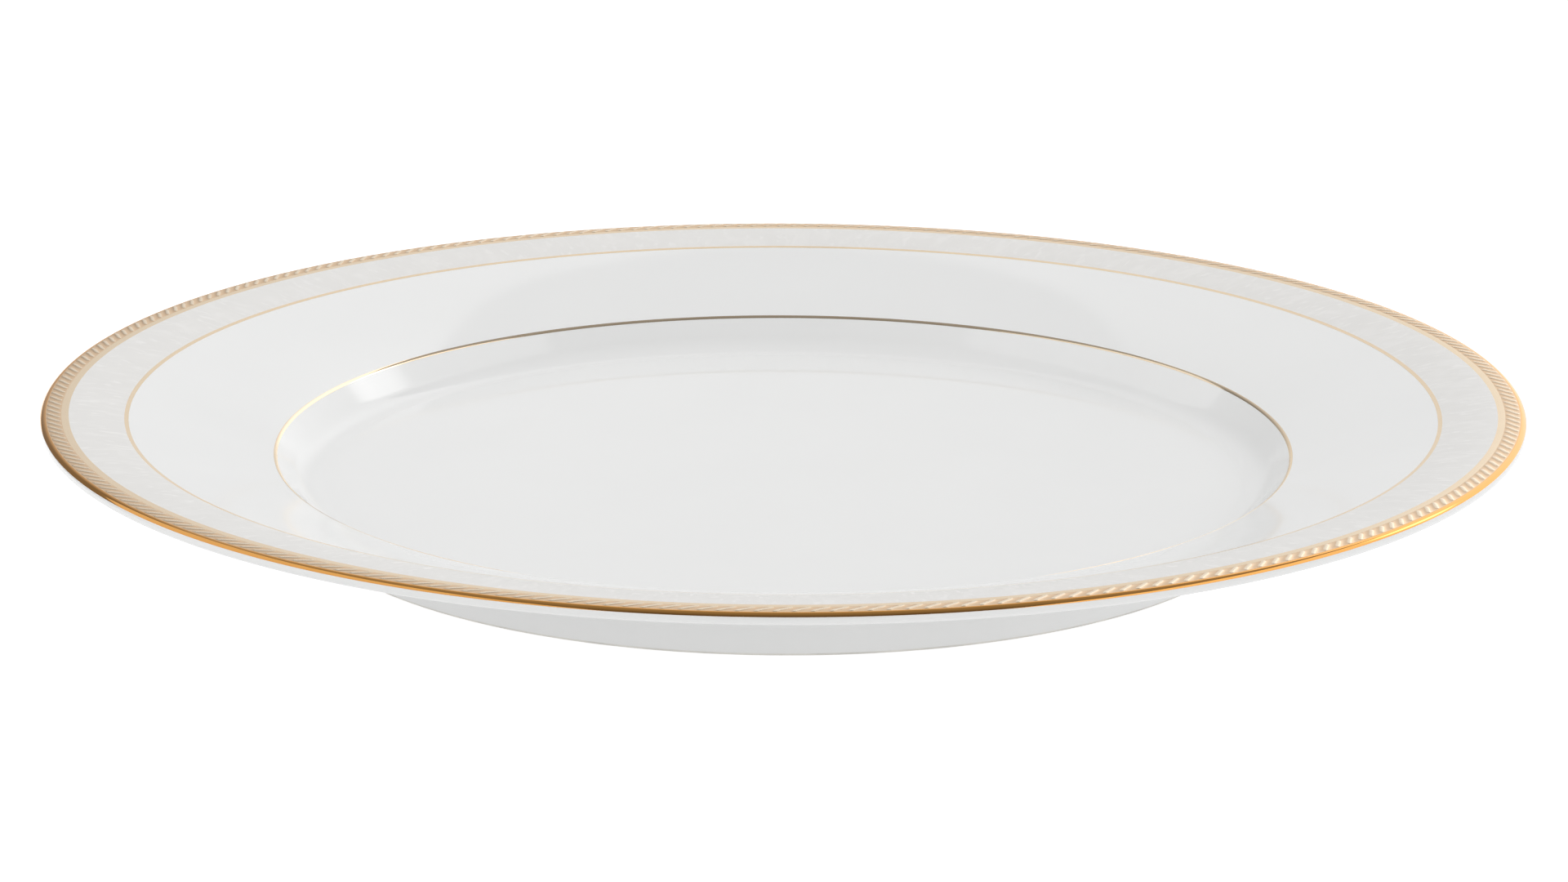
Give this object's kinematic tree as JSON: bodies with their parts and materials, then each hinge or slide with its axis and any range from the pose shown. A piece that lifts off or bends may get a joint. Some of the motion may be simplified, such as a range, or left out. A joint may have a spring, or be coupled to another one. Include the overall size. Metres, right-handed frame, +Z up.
{
  "type": "dinner plate",
  "caption": "Round rimmed china dinner plate with a foot ring, a gilt lip, a rope-etched gold band, a pearl lustre band and fine gold lines.",
  "frame": {"origin": "on the plate's axis, in the plane of the foot ring's flat face", "axes": "+Z up along the plate's axis of revolution, X and Y across the plate"},
  "size_m": [0.27, 0.27, 0.0227],
  "materials": {
    "bisque": "bare fired china, matt",
    "glaze": "clear glaze over white china, gloss",
    "burnished_gold": "burnished gold, gloss",
    "etched_gold": "etched gold, satin",
    "pearl_lustre": "mother-of-pearl lustre, satin gloss"
  },
  "bodies": {
    "root": {"china_body": "bisque", "face_glaze": "glaze", "recess_glaze": "glaze", "lip_gilding": "burnished_gold", "etched_gold_band": "etched_gold", "gold_border_line": "burnished_gold", "pearl_band": "pearl_lustre", "rim_gold_line": "burnished_gold", "verge_gold_line": "burnished_gold"}
  },
  "joints": []
}
